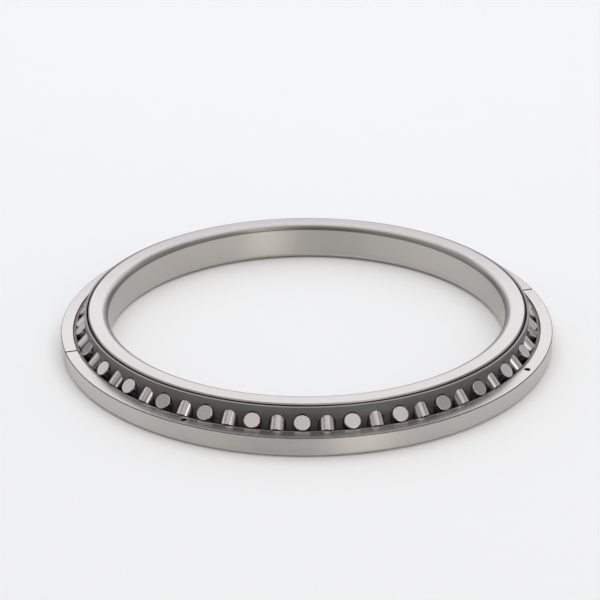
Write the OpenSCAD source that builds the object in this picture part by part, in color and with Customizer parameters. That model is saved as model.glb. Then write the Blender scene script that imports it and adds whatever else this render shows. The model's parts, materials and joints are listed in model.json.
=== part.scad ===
// Crossed roller bearing with the upper half of its split outer ring taken off.
// The bearing lies flat with its axis on Z, its lower faces on Z = 0.

/* [Bearing] */
// Diameter of the bore, the seat of the shaft
bore_d = 250; // [220:1:320]
// Radial depth of the inner ring, from the bore to its lip
inner_depth = 12.4; // [10:0.1:15]
// Radial depth of the outer ring, from its lip to the outside
outer_depth = 13.6; // [12.8:0.1:17]
// Width of the whole bearing
width = 25; // [23:0.5:32]
// Radius of the corners at the bore
bore_corner_r = 4.2; // [1:0.1:5]
// Radius of the corner at the outside
outer_corner_r = 2.5; // [1:0.1:3.5]
// Small chamfer that breaks the other edges of the rings
edge_chamfer = 0.5; // [0.2:0.1:1]

/* [Rollers] */
// Number of rollers, every second one leaning the other way
roller_count = 62; // [58:2:66]
// Diameter of a roller
roller_d = 9.6; // [9:0.1:10]
// How much shorter than its diameter a roller is
roller_shortfall = 0.4; // [0.2:0.1:1]
// Chamfer at the ends of a roller
roller_chamfer = 0.4; // [0.2:0.1:0.8]
// Azimuth of the first roller, in degrees
first_roller_angle = -91.1; // [-95:0.1:-87]

/* [Raceways] */
// Running clearance between a roller and each raceway
race_clearance = 0.12; // [0.1:0.01:0.2]
// Radial distance from the roller centres to the lip of each ring
lip_reach = 2; // [1.8:0.1:2.6]
// Radius of the relief groove at the bottom of each V
relief_r = 1.2; // [0.6:0.1:1.4]

/* [Cage] */
// Wall thickness of the cage
cage_wall = 1.5; // [1.2:0.1:1.8]
// Radial gap between the lip of the inner ring and the cage
cage_gap = 1; // [0.8:0.1:1.2]
// Height that the cage stays short of the bearing at each face
cage_inset = 1; // [0.5:0.1:2]
// Radial clearance of a roller in its pocket
pocket_clearance = 0.3; // [0.25:0.05:0.5]

/* [Split outer ring] */
// Azimuth of the seam between the two segments, in degrees
split_angle = 17; // [0:1:90]
// Width of the seam at the roller pitch circle
split_gap = 0.7; // [0.3:0.1:1]
// Diameter of the clamp-bolt holes
bolt_hole_d = 3.7; // [3:0.1:4.2]
// Wall between the relief groove and a bolt hole
bolt_wall = 0.8; // [0.6:0.1:1.2]

/* [Hidden] */
$fn = 96;
// A cut starts this far outside what it cuts
overcut = 1;
// Rollers that are pieces of their own; the others, at the rear, share one node
own_rollers = 55;
roller_lean = 45;
bolts_per_segment = 2;
half_turn = 180;

bore_r = bore_d / 2;
inner_lip_r = bore_r + inner_depth;
pitch_r = inner_lip_r + lip_reach;
outer_lip_r = pitch_r + lip_reach;
outside_r = outer_lip_r + outer_depth;
mid_z = width / 2;
roller_pitch = 2 * half_turn / roller_count;
roller_len = roller_d - roller_shortfall;

// Half the diagonal of the square space between the raceways
race_reach = sqrt(2) * (roller_d / 2 + race_clearance);
bolt_circle_r = pitch_r + race_reach + relief_r + bolt_wall + bolt_hole_d / 2;

cage_inner_r = inner_lip_r + cage_gap;
cage_outer_r = cage_inner_r + cage_wall;
pocket_d = roller_d + 2 * pocket_clearance;
pocket_len = 2 * (roller_d + roller_len);
// Turn of a pocket about its own axis, so that the seam of its wall lies at its side
pocket_turn = 90;

segment_gap = split_gap / pitch_r * half_turn / PI;
segment_sweep = half_turn - segment_gap;
bolt_pitch = half_turn / bolts_per_segment;

rear_count = roller_count - own_rollers;
rear_first = floor((roller_count - rear_count + 1) / 2);
rear_last = rear_first + rear_count - 1;

function is_rear(i) = i >= rear_first && i <= rear_last;
function roller_name(i) = str("roller_", i < 9 ? "0" : "", i + 1);
function roller_angle(i) = first_roller_angle + i * roller_pitch;
// Even rollers lean outwards at the top, odd ones at the bottom
function roller_tilt(i) = i % 2 == 0 ? roller_lean : half_turn - roller_lean;

// Outline with a flat at the given distance from the axis behind each roller
function flats(r) = [
    for (i = [0 : roller_count - 1])
        let (a = roller_angle(i + 0.5))
        r / cos(roller_pitch / 2) * [cos(a), sin(a)]
];

single_rollers = [for (i = [0 : roller_count - 1]) if (!is_rear(i)) i];
rear_rollers_at = [for (i = [rear_first : rear_last]) i];

// Waste at a rounded corner whose sides run along +X and +Y
module corner_waste(r) {
    difference() {
        translate([-overcut, -overcut]) square(r + overcut);
        translate([r, r]) circle(r);
    }
}

// Waste at a chamfered corner whose sides run along +X and +Y
module chamfer_waste(c) {
    polygon([[-overcut, -overcut], [c + overcut, -overcut], [-overcut, c + overcut]]);
}

// Section of the square roller space, standing on its corner at the pitch circle
module race_section() {
    translate([pitch_r, mid_z]) {
        rotate(roller_lean) square(sqrt(2) * race_reach, center = true);
        for (side = [-1, 1]) translate([side * race_reach, 0]) circle(relief_r);
    }
}

module inner_section() {
    difference() {
        translate([bore_r, 0]) square([inner_lip_r - bore_r, width]);
        race_section();
        translate([bore_r, 0]) corner_waste(bore_corner_r);
        translate([bore_r, width]) mirror([0, 1]) corner_waste(bore_corner_r);
        translate([inner_lip_r, 0]) mirror([1, 0]) chamfer_waste(edge_chamfer);
        translate([inner_lip_r, width]) rotate(180) chamfer_waste(edge_chamfer);
    }
}

// The outer ring's section below the split plane
module outer_section() {
    difference() {
        translate([outer_lip_r, 0]) square([outside_r - outer_lip_r, mid_z]);
        race_section();
        translate([outside_r, 0]) mirror([1, 0]) corner_waste(outer_corner_r);
        translate([outside_r, mid_z]) rotate(180) chamfer_waste(edge_chamfer);
        translate([outer_lip_r, 0]) chamfer_waste(edge_chamfer);
    }
}

// Carries what lies along Z to the seat of roller i, with the roller's lean
module at_roller(i) {
    rotate(roller_angle(i)) translate([pitch_r, 0, mid_z]) rotate([0, roller_tilt(i), 0]) children();
}

module inner_ring() {
    color("silver") rotate_extrude() inner_section();
}

// One half-round segment, from its seam at the given azimuth
module outer_segment(seam) {
    rotate(seam) difference() {
        rotate(segment_gap / 2) rotate_extrude(angle = segment_sweep) outer_section();
        for (k = [0 : bolts_per_segment - 1])
            rotate((k + 0.5) * bolt_pitch)
                translate([bolt_circle_r, 0, -overcut])
                    cylinder(d = bolt_hole_d, h = mid_z + 2 * overcut);
    }
}

module outer_ring_front() {
    color("lightgray") outer_segment(split_angle + half_turn);
}

module outer_ring_rear() {
    color("gainsboro") outer_segment(split_angle);
}

// The cage is bent from strip, with one flat behind each roller
module cage() {
    color("dimgray") difference() {
        translate([0, 0, cage_inset])
            linear_extrude(width - 2 * cage_inset)
                difference() {
                    polygon(flats(cage_outer_r));
                    polygon(flats(cage_inner_r));
                }
        for (i = [0 : roller_count - 1])
            at_roller(i) rotate(pocket_turn) cylinder(d = pocket_d, h = pocket_len, center = true);
    }
}

module roller(i) {
    half = roller_len / 2;
    r = roller_d / 2;
    c = roller_chamfer;
    color("lightsteelblue") at_roller(i) rotate_extrude()
        polygon([[0, -half], [r - c, -half], [r, c - half], [r, half - c], [r - c, half], [0, half]]);
}

module rear_rollers() {
    for (i = rear_rollers_at) roller(i);
}

inner_ring();
outer_ring_front();
outer_ring_rear();
cage();
for (i = single_rollers) roller(i);
rear_rollers();
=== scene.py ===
"""An opened crossed roller bearing: ground rings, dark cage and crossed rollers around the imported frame."""

import json
import math
import random

import bmesh
import bpy
from mathutils import Matrix, Vector


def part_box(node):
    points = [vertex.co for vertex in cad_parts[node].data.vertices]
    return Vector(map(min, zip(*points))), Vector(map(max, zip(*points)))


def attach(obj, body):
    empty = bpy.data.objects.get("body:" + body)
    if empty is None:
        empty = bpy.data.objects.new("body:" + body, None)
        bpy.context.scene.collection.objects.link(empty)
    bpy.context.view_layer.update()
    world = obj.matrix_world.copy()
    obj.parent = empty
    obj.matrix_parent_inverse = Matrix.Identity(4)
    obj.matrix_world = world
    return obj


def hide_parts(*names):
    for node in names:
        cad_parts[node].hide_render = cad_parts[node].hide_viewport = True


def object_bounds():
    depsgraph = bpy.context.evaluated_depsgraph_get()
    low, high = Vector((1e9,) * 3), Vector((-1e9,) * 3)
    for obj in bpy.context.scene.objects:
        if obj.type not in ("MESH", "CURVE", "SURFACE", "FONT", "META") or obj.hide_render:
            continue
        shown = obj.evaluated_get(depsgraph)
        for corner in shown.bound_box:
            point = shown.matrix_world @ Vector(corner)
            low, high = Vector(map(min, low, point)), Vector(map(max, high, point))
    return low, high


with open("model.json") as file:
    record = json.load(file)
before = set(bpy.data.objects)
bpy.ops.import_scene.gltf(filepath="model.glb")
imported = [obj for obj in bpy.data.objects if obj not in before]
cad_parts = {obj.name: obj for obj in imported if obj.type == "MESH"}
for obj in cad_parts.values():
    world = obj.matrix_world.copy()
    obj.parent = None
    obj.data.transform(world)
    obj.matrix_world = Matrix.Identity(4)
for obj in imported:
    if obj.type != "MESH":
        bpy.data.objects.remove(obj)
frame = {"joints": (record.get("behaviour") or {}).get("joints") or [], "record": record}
cad_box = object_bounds()

MM = 0.001
TURN = 2 * math.pi
UP = Vector((0, 0, 1))

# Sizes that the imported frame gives
mounts = {mount["name"]: mount for mount in frame["record"]["mounts"]}
spin_joints = [joint for joint in frame["joints"] if joint["name"].startswith("roller_")]
first_seat = Vector(spin_joints[0]["pos_m"])
BORE_R = mounts["bore"]["dims"]["r_mm"] * MM
BOLT_R = mounts["clamp_bolts"]["dims"]["pcd_mm"] / 2 * MM
BOLT_HOLE_R = mounts["clamp_bolts"]["dims"]["hole_r_mm"] * MM
OUTSIDE_R = min(cad_box[1].x, cad_box[1].y)
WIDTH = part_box("inner_ring")[1].z
MID_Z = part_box("outer_ring_front")[1].z
PITCH_R = math.hypot(first_seat.x, first_seat.y)
FIRST_ROLLER = math.atan2(first_seat.y, first_seat.x)
CAGE_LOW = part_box("cage")[0].z
CAGE_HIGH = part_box("cage")[1].z

# Sizes of the bearing that its frame doesn't name
ROLLER_COUNT = 62
ROLLER_R = 4.8 * MM
ROLLER_LEN = 9.2 * MM
BORE_CORNER_R = 4.2 * MM
OUTER_CORNER_R = 2.5 * MM
EDGE_CHAMFER = 0.5 * MM
RACE_CLEARANCE = 0.12 * MM
LIP_REACH = 2 * MM
RELIEF_R = 1.2 * MM
CAGE_WALL = 1.5 * MM
CAGE_GAP = 1 * MM
POCKET_CLEARANCE = 0.3 * MM
SEAM = math.radians(17)
SEAM_WIDTH = 0.7 * MM
# Azimuths of a segment's two bolt holes, from its first seam
BOLT_ANGLES = (math.radians(45), math.radians(135))

# Edges of the finished pieces
ROLLER_EDGE = 0.5 * MM
LIP_CHAMFER = 0.75 * MM
SPLIT_EDGE = 0.5 * MM
SEAM_EDGE = 0.35 * MM
CAGE_EDGE = 0.4 * MM
SOFT_EDGE = 0.08 * MM

# Sizes that follow from these; an apex is the point where the two sides of a V groove would meet
RACE_REACH = math.sqrt(2) * (ROLLER_R + RACE_CLEARANCE)
GROOVE_RISE = RACE_REACH - LIP_REACH
INNER_APEX_R = PITCH_R - RACE_REACH
OUTER_APEX_R = PITCH_R + RACE_REACH
INNER_LIP_R = PITCH_R - LIP_REACH
OUTER_LIP_R = PITCH_R + LIP_REACH
GROOVE_MOUTH_R = OUTER_APEX_R + RELIEF_R
CAGE_INNER_R = INNER_LIP_R + CAGE_GAP
CAGE_OUTER_R = CAGE_INNER_R + CAGE_WALL
POCKET_R = ROLLER_R + POCKET_CLEARANCE
ROLLER_PITCH = TURN / ROLLER_COUNT
SEAM_GAP = SEAM_WIDTH / PITCH_R

# Fineness of the meshes
RING_STEPS = 480
SEGMENT_STEPS = 240
CORNER_STEPS = 14
EDGE_STEPS = 4
SOFT_EDGE_STEPS = 2
ROLLER_EDGE_STEPS = 3
INNER_RELIEF_STEPS = 18
OUTER_RELIEF_STEPS = 12
BOLT_HOLE_SIDES = 32
ROLLER_SIDES = 72
SHARP_ANGLE = math.radians(25)
MERGE_DISTANCE = 1e-7
LEVEL_TOLERANCE = SOFT_EDGE / 10
FLAT_FACE_WEIGHT = 80

# Windows in the meshes that bolt holes and pockets are set into
BOLT_REACH = BOLT_HOLE_R + EDGE_CHAMFER / 2
POCKET_COLUMNS = 10
POCKET_ROWS = 10
POCKET_REACH = (POCKET_COLUMNS / 2 - 1) / POCKET_COLUMNS * ROLLER_PITCH
POCKET_SIDES = 2 * (POCKET_COLUMNS - 2 + POCKET_ROWS)
CAGE_MARGIN = 0.6 * MM

# Places of the outer ring's finishes in its list of materials
# Painted shade, nearly black, in the bolt holes and seams
HOLE_AND_SEAM_SHADE = 1
# Painted shade, darker, in the relief groove
RELIEF_SHADE = 2

# Values between which most of a noise lies
NOISE_SPREAD = (0.3, 0.7)

# Floor: half its side, and how far it lies below the bearing
FLOOR_REACH = 12
FLOOR_DROP = 0.05 * MM

# Softboxes: name, place, target, size, radiance and colour
NEUTRAL = (1.0, 1.0, 1.0)
WARM = (1.0, 0.97, 0.93)
WARMER = (1.0, 0.95, 0.86)
SOFTBOXES = (
    ("back_box", (0, 1.70, 1.20), (0, 0, 0), (3.4, 0.95), 0.66, NEUTRAL),
    ("overhead_back_box", (0, 0.50, 2.0), (0, 0.50, 0), (3.1, 1.9), 0.98, NEUTRAL),
    ("overhead_front_box", (0.16, -0.85, 1.9), (0.16, -0.85, 0), (2.3, 1.3), 0.36, WARMER),
    ("left_box", (-2.0, 0.3, 0.65), (0, 0.3, 0.65), (2.4, 1.3), 0.36, NEUTRAL),
    ("right_box", (2.0, 0.1, 0.40), (0, 0.1, 0.40), (2.6, 0.8), 0.33, WARMER),
    ("front_strip", (0.66, -1.68, 0.5), (0, 0, 0.5), (0.6, 1.0), 1.20, WARM),
    ("front_lamp", (0.914, -1.407, 1.09), (0, 0, 0), (0.45, 0.45), 3.0, WARM),
)

# The studio round the lamps: its level and its colour on the viewer's side and on the far side
STUDIO_LEVELS = (0.53, 0.64)
STUDIO_COLOURS = ((0.995, 0.955, 0.950), (0.932, 0.955, 1.090))
# Dim patches of the studio: direction, inner and outer half angle in degrees, and the share of light left
DIM_PATCHES = (
    ((-0.24, -0.96, 0.08), 18, 23, 0.0),
    ((-0.22, -0.84, 0.50), 14, 22, 0.4),
    ((0.82, 0.05, 0.58), 10, 20, 0.60),
    ((-0.68, -0.12, 0.72), 10, 20, 0.70),
    ((0.58, 0.81, 0.03), 6, 11, 0.2),
    ((-0.72, 0.67, 0.12), 6, 13, 0.4),
)

# The photograph's camera, fitted to the rings' edges: angles in radians, focal length in pixels
CAMERA_PLACE = (0, -1.1196, 0.5484)
CAMERA_PAN = -0.0037
CAMERA_TILT = 0.4365
CAMERA_ROLL = -0.0049
FOCAL_PIXELS = 1956.44
PICTURE_PIXELS = 600
SENSOR_WIDTH = 36


# Sections, as points (radius, 0, height)
def arc(radius, height, bend, start, end, steps):
    """Points of a round stretch about (radius, height), from angle start to angle end in degrees."""
    angles = [math.radians(start + (end - start) * k / steps) for k in range(steps + 1)]
    return [Vector((radius + bend * math.cos(a), 0, height + bend * math.sin(a))) for a in angles]


def chamfer(radius, height, size, toward_first, toward_second):
    """Two points that break the corner at (radius, height) by a chamfer of the given size."""
    corner = Vector((radius, 0, height))
    return [corner + size * Vector((dr, 0, dz)) for dr, dz in (toward_first, toward_second)]


def inner_ring_section():
    """The inner ring's section, with its V groove and the relief at the bottom of the V."""
    lower = chamfer(INNER_LIP_R, 0, EDGE_CHAMFER, (-1, 0), (0, 1))
    upper = chamfer(INNER_LIP_R, WIDTH, LIP_CHAMFER, (0, -1), (-1, 0))
    groove_low = Vector((INNER_LIP_R, 0, MID_Z - GROOVE_RISE))
    groove_high = Vector((INNER_LIP_R, 0, MID_Z + GROOVE_RISE))
    relief = arc(INNER_APEX_R, MID_Z, RELIEF_R, -45, -315, INNER_RELIEF_STEPS)
    middle = BORE_R + BORE_CORNER_R
    top_corner = arc(middle, WIDTH - BORE_CORNER_R, BORE_CORNER_R, 90, 180, CORNER_STEPS)
    low_corner = arc(middle, BORE_CORNER_R, BORE_CORNER_R, 180, 270, CORNER_STEPS)
    return lower + [groove_low] + relief + [groove_high] + upper + top_corner + low_corner


def outer_ring_section():
    """The outer ring's section below its split face, with rows beside the bolt holes."""
    rows = [BOLT_R - BOLT_REACH, BOLT_R + BOLT_REACH]
    low_corner = arc(OUTSIDE_R - OUTER_CORNER_R, OUTER_CORNER_R, OUTER_CORNER_R, 270, 360, CORNER_STEPS)
    top_edge = arc(OUTSIDE_R - SPLIT_EDGE, MID_Z - SPLIT_EDGE, SPLIT_EDGE, 0, 90, EDGE_STEPS)
    split_face = [Vector((r, 0, MID_Z)) for r in reversed(rows)]
    relief = arc(OUTER_APEX_R, MID_Z, RELIEF_R, 0, -135, OUTER_RELIEF_STEPS)
    groove_low = Vector((OUTER_LIP_R, 0, MID_Z - GROOVE_RISE))
    lip = chamfer(OUTER_LIP_R, 0, EDGE_CHAMFER, (0, 1), (1, 0))
    bottom_face = [Vector((r, 0, 0)) for r in rows]
    return low_corner + top_edge + split_face + relief + [groove_low] + lip + bottom_face


def cage_rim(first_r, second_r, height, start):
    """Points over the two rounded edges of one rim of the cage."""
    first = arc(first_r, height, CAGE_EDGE, start, start + 90, EDGE_STEPS)
    return first + arc(second_r, height, CAGE_EDGE, start + 90, start + 180, EDGE_STEPS)


def cage_section():
    """The strip of the cage with rounded edges, and with rows across the pockets on both walls."""
    low, high = CAGE_LOW + CAGE_MARGIN, CAGE_HIGH - CAGE_MARGIN
    rows = [low + (high - low) * k / POCKET_ROWS for k in range(POCKET_ROWS + 1)]
    outer_wall = [Vector((CAGE_OUTER_R, 0, z)) for z in rows]
    inner_wall = [Vector((CAGE_INNER_R, 0, z)) for z in reversed(rows)]
    outer_r, inner_r = CAGE_OUTER_R - CAGE_EDGE, CAGE_INNER_R + CAGE_EDGE
    upper_rim = cage_rim(outer_r, inner_r, CAGE_HIGH - CAGE_EDGE, 0)
    lower_rim = cage_rim(inner_r, outer_r, CAGE_LOW + CAGE_EDGE, 180)
    return outer_wall + upper_rim + inner_wall + lower_rim


# Mesh making
def outline(bm, points):
    """A closed loop of edges through the points."""
    verts = [bm.verts.new(p) for p in points]
    return verts + [bm.edges.new((a, b)) for a, b in zip(verts, verts[1:] + verts[:1])]


def revolve(bm, section, start, sweep, steps):
    """Turns a section about the bearing's axis, whole or through part of a turn with closed ends."""
    geom = outline(bm, section)
    bmesh.ops.rotate(bm, verts=bm.verts[:], matrix=Matrix.Rotation(start, 3, "Z"))
    whole = math.isclose(sweep, TURN)
    bmesh.ops.spin(bm, geom=geom, axis=UP, angle=sweep, steps=steps, use_merge=whole)
    if not whole:
        ends = [edge for edge in bm.edges if edge.is_boundary]
        bmesh.ops.holes_fill(bm, edges=ends, sides=len(ends))
    bmesh.ops.remove_doubles(bm, verts=bm.verts[:], dist=MERGE_DISTANCE)
    bmesh.ops.recalc_face_normals(bm, faces=bm.faces[:])


def azimuth_from(point, angle):
    """Angle from the given azimuth to a point, between minus and plus half a turn."""
    away = math.atan2(point.y, point.x) - angle
    return (away + math.pi) % TURN - math.pi


def open_window(bm, faces):
    """Deletes the faces and returns the edges round the window that they leave."""
    inside = set(faces)
    edges = dict.fromkeys(edge for face in faces for edge in face.edges)
    rim = [edge for edge in edges if not set(edge.link_faces) <= inside]
    bmesh.ops.delete(bm, geom=faces, context="FACES")
    return rim


def ring_of_edges(bm, sides, radius, place):
    """A round rim made at the given place; returns its edges."""
    made = bmesh.ops.create_circle(bm, cap_ends=False, segments=sides, radius=radius, matrix=place)
    return list(dict.fromkeys(edge for vert in made["verts"] for edge in vert.link_edges))


def pierce(bm, windows, rims, flat):
    """Joins two windows in opposite walls to their rims, and the rims by a wall whose faces it returns."""
    for window, rim in zip(windows, rims):
        if flat:
            bmesh.ops.triangle_fill(bm, use_beauty=True, edges=window + rim, normal=UP)
        else:
            bmesh.ops.bridge_loops(bm, edges=window + rim)
    return bmesh.ops.bridge_loops(bm, edges=rims[0] + rims[1])["faces"]


def at_groove_mouth(edge):
    """Whether an edge runs where the groove opens into the split face."""
    return all(
        abs(vert.co.z - MID_Z) < LEVEL_TOLERANCE and abs(vert.co.xy.length - GROOVE_MOUTH_R) < SOFT_EDGE
        for vert in edge.verts
    )


def soften(bm):
    """Rounds the sharp edges a little, as handling does, and leaves the mouth of the groove sharp."""
    bmesh.ops.recalc_face_normals(bm, faces=bm.faces[:])
    sharp = [e for e in bm.edges if len(e.link_faces) == 2 and e.calc_face_angle() > SHARP_ANGLE]
    for edge in filter(at_groove_mouth, sharp):
        edge.smooth = False
    bmesh.ops.bevel(
        bm, geom=[edge for edge in sharp if edge.smooth], offset=SOFT_EDGE, offset_type="OFFSET",
        affect="EDGES", segments=SOFT_EDGE_STEPS, profile=0.5, material=-1, clamp_overlap=True,
    )


def finish_piece(bm, name, finishes, body, nodes):
    """Makes the bmesh a smooth-shaded piece that rides on a body and stands for its nodes."""
    bmesh.ops.recalc_face_normals(bm, faces=bm.faces[:])
    mesh = bpy.data.meshes.new(name)
    bm.to_mesh(mesh)
    bm.free()
    mesh.shade_smooth()
    for finish in finishes:
        mesh.materials.append(finish)
    piece = bpy.data.objects.new(name, mesh)
    bpy.context.scene.collection.objects.link(piece)
    flatter = piece.modifiers.new("flat_faces_stay_flat", "WEIGHTED_NORMAL")
    flatter.weight = FLAT_FACE_WEIGHT
    flatter.keep_sharp = True
    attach(piece, body)
    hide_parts(*nodes)


# Finishes
class Nodes:
    """The node tree of a material or world in the making, with its shader to link into."""

    def __init__(self, owner, shader):
        owner.use_nodes = True
        self.tree = owner.node_tree
        self.shader = self.tree.nodes[shader]

    def node(self, kind, inputs=(), **settings):
        made = self.tree.nodes.new(kind)
        for key, value in settings.items():
            setattr(made, key, value)
        for key, value in dict(inputs).items():
            self.feed(made.inputs[key], value)
        return made

    def feed(self, socket, value):
        """Links an output to the socket, or sets the socket's own value."""
        if isinstance(value, bpy.types.NodeSocket):
            self.tree.links.new(value, socket)
        else:
            socket.default_value = value

    def set(self, **inputs):
        """Feeds the shader's sockets, with _ for the blanks in their names."""
        for key, value in inputs.items():
            self.feed(self.shader.inputs[key.replace("_", " ")], value)

    def math(self, operation, first, second=0.0):
        return self.node("ShaderNodeMath", {0: first, 1: second}, operation=operation).outputs[0]

    def near(self, value, target, within):
        """1 where a number lies within the given distance of a target, and 0 elsewhere."""
        inputs = {0: value, 1: target, 2: within}
        return self.node("ShaderNodeMath", inputs, operation="COMPARE").outputs[0]

    def product(self, first, *others):
        for other in others:
            first = self.math("MULTIPLY", first, other)
        return first

    def mean(self, first, second):
        return self.product(self.math("ADD", first, second), 0.5)

    def ramp(self, value, start, end, low, high, **settings):
        """A number that goes from low to high as value goes from start to end, and stays there."""
        inputs = {"Value": value, "From Min": start, "From Max": end, "To Min": low, "To Max": high}
        return self.node("ShaderNodeMapRange", inputs, **settings).outputs["Result"]

    def between(self, noise, low, high):
        """A number that goes from low to high as a noise goes over its usual spread."""
        return self.ramp(noise, *NOISE_SPREAD, low, high)

    def vector(self, operation, first, second=(0, 0, 0)):
        made = self.node("ShaderNodeVectorMath", {0: first, 1: second}, operation=operation)
        return made.outputs["Value"] if operation in ("LENGTH", "DOT_PRODUCT") else made.outputs["Vector"]

    def split(self, vector):
        """The three numbers of a vector."""
        return self.node("ShaderNodeSeparateXYZ", {0: vector}).outputs

    def join(self, x, y, z=0.0):
        """A vector of three numbers."""
        return self.node("ShaderNodeCombineXYZ", {0: x, 1: y, 2: z}).outputs[0]

    def blend(self, share, first, second):
        """A colour from first to second as share goes from 0 to 1."""
        inputs = {"Factor": share, 6: first, 7: second}
        return self.node("ShaderNodeMix", inputs, data_type="RGBA").outputs[2]

    def tint(self, share, dark, light):
        """A colour between two plain ones."""
        return self.blend(share, (*dark, 1), (*light, 1))


class Finish(Nodes):
    """A material in the making."""

    def __init__(self, name):
        self.material = bpy.data.materials.new(name)
        super().__init__(self.material, "Principled BSDF")

    def noise(self, vector, scale, detail=2.0, w=None):
        inputs = {"Vector": vector, "Scale": scale, "Detail": detail, "Roughness": 0.6}
        if w is None:
            return self.node("ShaderNodeTexNoise", inputs).outputs["Fac"]
        return self.node("ShaderNodeTexNoise", {**inputs, "W": w}, noise_dimensions="4D").outputs["Fac"]

    def bump(self, height, distance, strength):
        inputs = {"Height": height, "Distance": distance, "Strength": strength}
        return self.node("ShaderNodeBump", inputs).outputs["Normal"]

    def attribute(self, name, output="Vector"):
        return self.node("ShaderNodeAttribute", attribute_name=name).outputs[output]

    def object_place(self):
        return self.node("ShaderNodeTexCoord").outputs["Object"]

    def from_axis(self):
        """The way from the bearing's axis to a place on the piece, its length, and the place's height."""
        place = self.split(self.object_place())
        out = self.join(place[0], place[1])
        return out, self.vector("LENGTH", out), place[2]

    def normal(self):
        return self.node("ShaderNodeNewGeometry").outputs["Normal"]

    def facing_up(self):
        """1 on a face that looks up, 0 on an upright wall, -1 on a face that looks down."""
        return self.split(self.normal())["Z"]

    def in_world(self, way):
        """A direction of the piece, turned as the piece is turned."""
        settings = {"vector_type": "VECTOR", "convert_from": "OBJECT", "convert_to": "WORLD"}
        return self.node("ShaderNodeVectorTransform", {0: way}, **settings).outputs[0]


def round_the_axis(finish, streak, length):
    """Noise drawn out into marks round the bearing's axis: streak is their width, length how far they run."""
    out, radius, height = finish.from_axis()
    way = finish.split(finish.vector("NORMALIZE", out))
    drift = PITCH_R * streak / length
    across = finish.join(radius, height, finish.product(way[0], drift))
    return finish.noise(across, 1 / streak, w=finish.product(way[1], drift))


def round_tangent(finish):
    """The direction round the bearing's axis."""
    around = finish.vector("CROSS_PRODUCT", tuple(UP), finish.object_place())
    return finish.in_world(finish.vector("NORMALIZE", around))


def painted_edge_shades(finish, slope):
    """Shares of painted shade: a darker tone at the inner ring's upper edges, and a nearly black one at the
    lip wall and split edge.
    """
    radius, height = finish.from_axis()[1:]
    lean = finish.math("SQRT", finish.math("SUBTRACT", 1.0, finish.product(slope, slope)))
    off_flat = finish.ramp(lean, 0.03, 0.95, 0, 1)
    off_wall = finish.ramp(slope, 0.03, 0.09, 0, 1)
    broken = finish.product(off_flat, off_wall)

    # Painted shade: the bore's upper corner and the lip chamfer get a darker colour.
    bore_corner = finish.math("LESS_THAN", radius, BORE_R + BORE_CORNER_R + SOFT_EDGE)
    lip_chamfer = finish.near(radius, INNER_LIP_R, LIP_CHAMFER + SOFT_EDGE)
    edges = finish.math("ADD", bore_corner, finish.product(lip_chamfer, 0.85))
    high = finish.math("GREATER_THAN", height, MID_Z + EDGE_CHAMFER)
    painted_corner_shade = finish.product(high, edges, broken)

    # Painted shade: the outer ring's split edge and the inner ring's lip wall get a nearly black colour.
    outside = finish.math("GREATER_THAN", radius, OUTSIDE_R - SPLIT_EDGE - SOFT_EDGE)
    at_split = finish.math("GREATER_THAN", height, MID_Z - SPLIT_EDGE - SOFT_EDGE)
    split_edge = finish.product(outside, at_split, finish.ramp(broken, 0.0, 0.3, 0, 1))
    lip_wall = finish.product(
        finish.near(radius, INNER_LIP_R, SOFT_EDGE), finish.ramp(slope, 0.2, 0.4, 1, 0)
    )
    return painted_corner_shade, finish.math("MAXIMUM", split_edge, lip_wall)


def ring_steel():
    """Hard ring steel with a satin finish ground round the axis, with painted shade on the inner ring's upper
    edges, the lip wall and the split edge.
    """
    finish = Finish("ground_ring_steel")
    fine = round_the_axis(finish, 0.35 * MM, 30 * MM)
    broad = round_the_axis(finish, 2.5 * MM, 120 * MM)
    cloud = finish.noise(finish.object_place(), 22, detail=3)
    mark = finish.mean(fine, broad)
    cloudy = finish.mean(cloud, finish.between(mark, 0.35, 0.65))
    slope = finish.math("ABSOLUTE", finish.facing_up())
    corner_shade_share, dark_edge_shade_share = painted_edge_shades(finish, slope)
    ground = finish.tint(cloudy, (0.580, 0.549, 0.515), (0.655, 0.625, 0.588))
    # Painted shade on the inner ring's upper edges.
    painted_corner_shade = finish.tint(cloudy, (0.215, 0.202, 0.180), (0.255, 0.241, 0.216))
    # Painted shade, nearly black, on the split edge and lip wall.
    dark_edge_shade = finish.tint(cloudy, (0.085, 0.080, 0.074), (0.115, 0.109, 0.101))
    ground_with_corner_shade = finish.blend(corner_shade_share, ground, painted_corner_shade)
    satin = finish.ramp(slope, 0.05, 0.30, 0.40, 0.155)
    rough = finish.math("ADD", satin, finish.product(corner_shade_share, 0.17))
    finish.set(
        Base_Color=finish.blend(dark_edge_shade_share, ground_with_corner_shade, dark_edge_shade),
        Roughness=finish.math("ADD", rough, finish.between(mark, -0.02, 0.05)),
        Metallic=1.0,
        Anisotropic=0.93,
        Anisotropic_Rotation=0.25,
        Normal=finish.bump(fine, 0.004 * MM, 0.5),
        Tangent=round_tangent(finish),
    )
    return finish.material


def hole_and_seam_shade_steel():
    """Bolt holes and seams of the outer ring: not ground, with painted shade that makes them nearly black."""
    finish = Finish("painted_shade_ring_steel")
    shade_mottle = finish.noise(finish.object_place(), 900, detail=3)
    share = finish.between(shade_mottle, 0, 1)
    finish.set(
        # Painted shade: nearly black colours.
        Base_Color=finish.tint(share, (0.012, 0.011, 0.010), (0.035, 0.032, 0.029)),
        Roughness=finish.between(shade_mottle, 0.45, 0.65),
        Metallic=0.2,
    )
    return finish.material


def relief_steel_with_shade():
    """The relief grooves of the outer ring: turned and duller than the ground faces, with painted shade that
    makes them darker.
    """
    finish = Finish("turned_relief_painted_shade")
    mark = round_the_axis(finish, 0.25 * MM, 20 * MM)
    share = finish.between(mark, 0, 1)
    finish.set(
        # Painted shade: a darker colour in the groove.
        Base_Color=finish.tint(share, (0.165, 0.156, 0.144), (0.235, 0.223, 0.206)),
        Roughness=finish.between(mark, 0.32, 0.40),
        Metallic=1.0,
    )
    return finish.material


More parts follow.
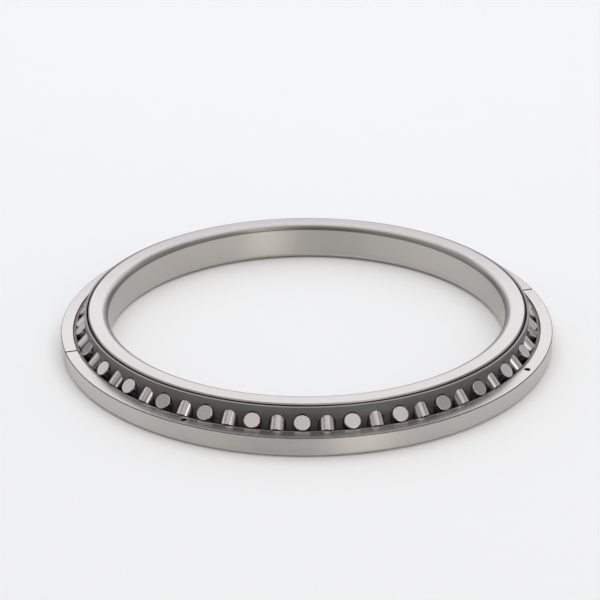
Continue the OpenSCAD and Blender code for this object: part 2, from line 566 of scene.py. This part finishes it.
def cage_steel():
    """Dark, oiled strip with a faint grain along it, and a painted highlight on its upper rim and the faces
    that look up.
    """
    finish = Finish("dark_cage_strip")
    grain = round_the_axis(finish, 0.5 * MM, 12 * MM)
    cloud = finish.noise(finish.object_place(), 60, detail=4)
    share = finish.between(finish.mean(grain, cloud), 0, 1)
    dark = finish.tint(share, (0.083, 0.081, 0.071), (0.126, 0.122, 0.109))
    rim_highlight = finish.tint(share, (0.190, 0.183, 0.170), (0.270, 0.261, 0.245))
    # Painted highlight: faces that look up get a lighter colour.
    rim = finish.ramp(finish.facing_up(), 0.35, 0.75, 0, 1)
    finish.set(
        Base_Color=finish.blend(rim, dark, rim_highlight),
        Roughness=finish.between(cloud, 0.30, 0.42),
        Metallic=0.30,
        Specular_IOR_Level=1.0,
        Normal=finish.bump(grain, 0.006 * MM, 0.5),
    )
    return finish.material


def roller_steel():
    """Rollers polished round the body and ground straight across the ends, each of its own tone."""
    finish = Finish("ground_roller_steel")
    place = finish.attribute("roller_place")
    tone = finish.attribute("roller_tone", "Fac")
    axis = finish.in_world(finish.attribute("roller_axis"))
    across = finish.in_world(finish.attribute("roller_across"))
    scratches = finish.noise(finish.vector("MULTIPLY", place, (1, 0.08, 1)), 1 / (0.3 * MM))
    speckle = finish.noise(place, 1 / (0.5 * MM), detail=3)
    mark = finish.mean(scratches, speckle)
    light = finish.tint(tone, (0.640, 0.600, 0.565), (0.610, 0.585, 0.575))
    dark = finish.tint(tone, (0.585, 0.550, 0.520), (0.560, 0.536, 0.524))
    ends = finish.math("ABSOLUTE", finish.vector("DOT_PRODUCT", finish.normal(), axis))
    rough = finish.ramp(ends, 0.2, 0.9, 0.24, 0.23)
    around = finish.vector("CROSS_PRODUCT", axis, finish.normal())
    lay = finish.vector("ADD", around, finish.vector("MULTIPLY", across, (0.2, 0.2, 0.2)))
    finish.set(
        Base_Color=finish.blend(finish.between(mark, 0, 1), dark, light),
        Roughness=finish.math("ADD", rough, finish.between(mark, -0.02, 0.04)),
        Metallic=1.0,
        Anisotropic=0.5,
        Anisotropic_Rotation=0.25,
        Normal=finish.bump(mark, 0.002 * MM, 0.3),
        Tangent=finish.vector("NORMALIZE", lay),
    )
    return finish.material


# Rings
def add_inner_ring(finish):
    bm = bmesh.new()
    revolve(bm, inner_ring_section(), 0, TURN, RING_STEPS)
    soften(bm)
    finish_piece(bm, "inner_ring_ground", [finish], "inner_ring", ["inner_ring"])


def bolt_window(bm, height, angle):
    """The faces at one level of the outer ring that a bolt hole at the given azimuth opens."""
    found = []
    for face in bm.faces:
        middle = face.calc_center_median()
        level = abs(middle.z - height) < LEVEL_TOLERANCE
        near = abs(middle.xy.length - BOLT_R) < BOLT_REACH
        if level and near and abs(azimuth_from(middle, angle)) * BOLT_R < 2 * BOLT_REACH:
            found.append(face)
    return found


def drill_bolt_hole(bm, angle):
    """A clamp-bolt hole through the outer ring, from its split face to its lower face."""
    centre = Matrix.Rotation(angle, 3, "Z") @ Vector((BOLT_R, 0, 0))
    windows, rims = [], []
    for height in (MID_Z, 0):
        windows.append(open_window(bm, bolt_window(bm, height, angle)))
        place = Matrix.Translation(centre + height * UP)
        rims.append(ring_of_edges(bm, BOLT_HOLE_SIDES, BOLT_HOLE_R, place))
    # Painted shade: the hole's wall is made nearly black.
    for face in pierce(bm, windows, rims, flat=True):
        face.material_index = HOLE_AND_SEAM_SHADE


def break_seam(bm):
    """Raises the ends of a segment, its faces of many corners, behind a chamfer; both get the nearly black
    painted shade.
    """
    ends = [face for face in bm.faces if len(face.verts) > 2 * CORNER_STEPS]
    made = bmesh.ops.inset_region(
        bm, faces=ends, thickness=SEAM_EDGE, depth=SEAM_EDGE, use_even_offset=True, use_boundary=True
    )
    for face in ends + made["faces"]:
        face.material_index = HOLE_AND_SEAM_SHADE


def in_relief(face):
    """Whether a face lies in the relief groove at the bottom of the V, or on the ridge at its edge."""
    middle = face.calc_center_median()
    from_apex = math.hypot(middle.xy.length - OUTER_APEX_R, middle.z - MID_Z)
    return from_apex < RELIEF_R + SOFT_EDGE and middle.z < MID_Z - LEVEL_TOLERANCE


def add_outer_segment(finishes, name, seam, node):
    """One half-round segment of the outer ring, from its seam at the given azimuth."""
    bm = bmesh.new()
    back = SEAM_GAP / 2 + SEAM_EDGE / OUTSIDE_R
    revolve(bm, outer_ring_section(), seam + back, math.pi - 2 * back, SEGMENT_STEPS)
    for angle in BOLT_ANGLES:
        drill_bolt_hole(bm, seam + angle)
    soften(bm)
    # Painted shade: the relief groove gets its darker finish.
    for face in filter(in_relief, bm.faces):
        face.material_index = RELIEF_SHADE
    break_seam(bm)
    finish_piece(bm, name, finishes, "outer_ring", [node])


# Cage and rollers
def roller_angle(index):
    """Azimuth of a roller."""
    return FIRST_ROLLER + index * ROLLER_PITCH


def roller_axis(index):
    """Axis of a roller: even ones lean outwards at the top, odd ones at the bottom."""
    angle = roller_angle(index)
    rise = 1 if index % 2 == 0 else -1
    return Vector((math.cos(angle), math.sin(angle), rise)).normalized()


def roller_seat(index):
    """Place of a roller: its own Z along its axis, its own X round the bearing."""
    angle = roller_angle(index)
    axis = roller_axis(index)
    around = Vector((-math.sin(angle), math.cos(angle), 0))
    turn = Matrix((around, axis.cross(around), axis)).transposed()
    centre = Vector((PITCH_R * math.cos(angle), PITCH_R * math.sin(angle), MID_Z))
    return Matrix.Translation(centre) @ turn.to_4x4()


def slide_to_wall(verts, axis, radius):
    """Slides a pocket's rim along the roller's axis onto a wall of the cage."""
    run = Vector((axis.x, axis.y, 0))
    for vert in verts:
        flat = Vector((vert.co.x, vert.co.y, 0))
        half = flat.dot(run) / run.length_squared
        rest = (flat.length_squared - radius ** 2) / run.length_squared
        vert.co += axis * (math.sqrt(half ** 2 - rest) - half)


def pocket_walls(bm):
    """For each pocket, the faces of the cage's outer and inner wall round its roller, with their middles."""
    found = [{CAGE_OUTER_R: [], CAGE_INNER_R: []} for _ in range(ROLLER_COUNT)]
    for face in bm.faces:
        middle = face.calc_center_median()
        if CAGE_LOW + CAGE_MARGIN < middle.z < CAGE_HIGH - CAGE_MARGIN:
            outer = middle.xy.length > (CAGE_OUTER_R + CAGE_INNER_R) / 2
            index = round(azimuth_from(middle, FIRST_ROLLER) / ROLLER_PITCH) % ROLLER_COUNT
            found[index][CAGE_OUTER_R if outer else CAGE_INNER_R].append((face, middle))
    return found


def cut_pocket(bm, walls, index):
    """A round pocket for one roller, along the roller's leaning axis through both walls of the cage."""
    windows, rims = [], []
    for radius, faces in walls.items():
        opened = [f for f, middle in faces if abs(azimuth_from(middle, roller_angle(index))) < POCKET_REACH]
        windows.append(open_window(bm, opened))
        rim = ring_of_edges(bm, POCKET_SIDES, POCKET_R, roller_seat(index))
        slide_to_wall({vert for edge in rim for vert in edge.verts}, roller_axis(index), radius)
        rims.append(rim)
    pierce(bm, windows, rims, flat=False)


def add_cage(finish):
    bm = bmesh.new()
    revolve(bm, cage_section(), roller_angle(-0.5), TURN, ROLLER_COUNT * POCKET_COLUMNS)
    for index, walls in enumerate(pocket_walls(bm)):
        cut_pocket(bm, walls, index)
    soften(bm)
    finish_piece(bm, "cage_strip", [finish], "cage", ["cage"])


def add_roller(bm, index):
    """One roller with rounded edges; its own place, axis and tone are attributes for its finish."""
    vectors, numbers = bm.verts.layers.float_vector, bm.verts.layers.float
    place, axis, across = [
        vectors.get(name) or vectors.new(name) for name in ("roller_place", "roller_axis", "roller_across")
    ]
    tone = numbers.get("roller_tone") or numbers.new("roller_tone")
    made = bmesh.ops.create_cone(
        bm, cap_ends=True, segments=ROLLER_SIDES, radius1=ROLLER_R, radius2=ROLLER_R, depth=ROLLER_LEN
    )
    before = set(bm.verts) - set(made["verts"])
    edges = dict.fromkeys(edge for vert in made["verts"] for edge in vert.link_edges)
    rims = [e for e in edges if abs(e.verts[0].co.z - e.verts[1].co.z) < LEVEL_TOLERANCE]
    bmesh.ops.bevel(
        bm, geom=rims, offset=ROLLER_EDGE, offset_type="OFFSET", affect="EDGES",
        segments=ROLLER_EDGE_STEPS, profile=0.5, material=-1,
    )
    mine = [vert for vert in bm.verts if vert not in before]
    own_tone = random.Random(index).random()
    seat = roller_seat(index)
    for vert in mine:
        vert[place] = vert.co
        vert[axis] = seat.col[2].xyz
        vert[across] = seat.col[0].xyz
        vert[tone] = own_tone
    bmesh.ops.transform(bm, matrix=seat, verts=mine)


def add_rollers(finish):
    """The rollers that spin as pieces of their own, and the others at the rear as one piece."""
    spinning = {joint["child"] for joint in spin_joints}
    rear = bmesh.new()
    for index in range(ROLLER_COUNT):
        body = f"roller_{index + 1:02d}"
        if body in spinning:
            bm = bmesh.new()
            add_roller(bm, index)
            finish_piece(bm, f"{body}_ground", [finish], body, [body])
        else:
            add_roller(rear, index)
    finish_piece(rear, "rear_rollers_ground", [finish], "cage", ["rear_rollers"])


# Stage, light and camera
def add_floor():
    bm = bmesh.new()
    bmesh.ops.create_grid(bm, x_segments=1, y_segments=1, size=FLOOR_REACH)
    bmesh.ops.translate(bm, verts=bm.verts[:], vec=-FLOOR_DROP * UP)
    mesh = bpy.data.meshes.new("floor")
    bm.to_mesh(mesh)
    bm.free()
    floor = bpy.data.objects.new("floor", mesh)
    bpy.context.scene.collection.objects.link(floor)
    paint = Finish("pale_floor")
    paint.set(Base_Color=(0.908, 0.918, 0.902, 1), Roughness=0.9)
    mesh.materials.append(paint.material)


def add_world():
    """An even studio, dimmer and warmer on the viewer's side, with dim patches that the steel mirrors."""
    world = bpy.data.worlds.new("studio")
    bpy.context.scene.world = world
    studio = Nodes(world, "Background")
    way = studio.node("ShaderNodeTexCoord").outputs["Generated"]
    depth = studio.split(way)["Y"]
    strength = studio.ramp(depth, -1, 1, *STUDIO_LEVELS)
    for toward, inner, outer, share in DIM_PATCHES:
        closeness = studio.vector("DOT_PRODUCT", way, Vector(toward).normalized())
        start, end = math.cos(math.radians(outer)), math.cos(math.radians(inner))
        left = studio.ramp(closeness, start, end, 1.0, share, interpolation_type="SMOOTHSTEP")
        strength = studio.product(strength, left)
    colour = studio.tint(studio.ramp(depth, -1, 1, 0, 1), *STUDIO_COLOURS)
    studio.set(Strength=strength, Color=colour)


def add_softbox(name, place, target, size, radiance, colour):
    """A rectangular softbox of the given size that looks at the target with an even radiance."""
    lamp = bpy.data.lights.new(name, "AREA")
    lamp.shape = "RECTANGLE"
    lamp.size, lamp.size_y = size
    lamp.color = colour
    lamp.energy = radiance * math.pi * size[0] * size[1]
    box = bpy.data.objects.new(name, lamp)
    box.location = place
    box.rotation_mode = "QUATERNION"
    box.rotation_quaternion = (Vector(target) - Vector(place)).to_track_quat("-Z", "Y")
    bpy.context.scene.collection.objects.link(box)


def add_camera():
    """The photograph's view of the bearing."""
    ahead = Vector((math.sin(CAMERA_PAN), math.cos(CAMERA_PAN), 0))
    forward = ahead * math.cos(CAMERA_TILT) - UP * math.sin(CAMERA_TILT)
    right = ahead.cross(UP)
    up = right.cross(forward)
    rolled_right = right * math.cos(CAMERA_ROLL) + up * math.sin(CAMERA_ROLL)
    rolled_up = up * math.cos(CAMERA_ROLL) - right * math.sin(CAMERA_ROLL)
    turn = Matrix((rolled_right, rolled_up, -forward)).transposed()
    data = bpy.data.cameras.new("camera")
    data.sensor_width = SENSOR_WIDTH
    data.lens = SENSOR_WIDTH * FOCAL_PIXELS / PICTURE_PIXELS
    camera = bpy.data.objects.new("camera", data)
    camera.matrix_world = Matrix.Translation(CAMERA_PLACE) @ turn.to_4x4()
    bpy.context.scene.collection.objects.link(camera)
    bpy.context.scene.camera = camera


steel = ring_steel()
add_inner_ring(steel)
segment_finishes = [steel, hole_and_seam_shade_steel(), relief_steel_with_shade()]
add_outer_segment(segment_finishes, "outer_front_ground", SEAM + math.pi, "outer_ring_front")
add_outer_segment(segment_finishes, "outer_rear_ground", SEAM, "outer_ring_rear")
add_cage(cage_steel())
add_rollers(roller_steel())
add_floor()
add_world()
for softbox in SOFTBOXES:
    add_softbox(*softbox)
add_camera()
bpy.context.scene.view_settings.view_transform = "Standard"
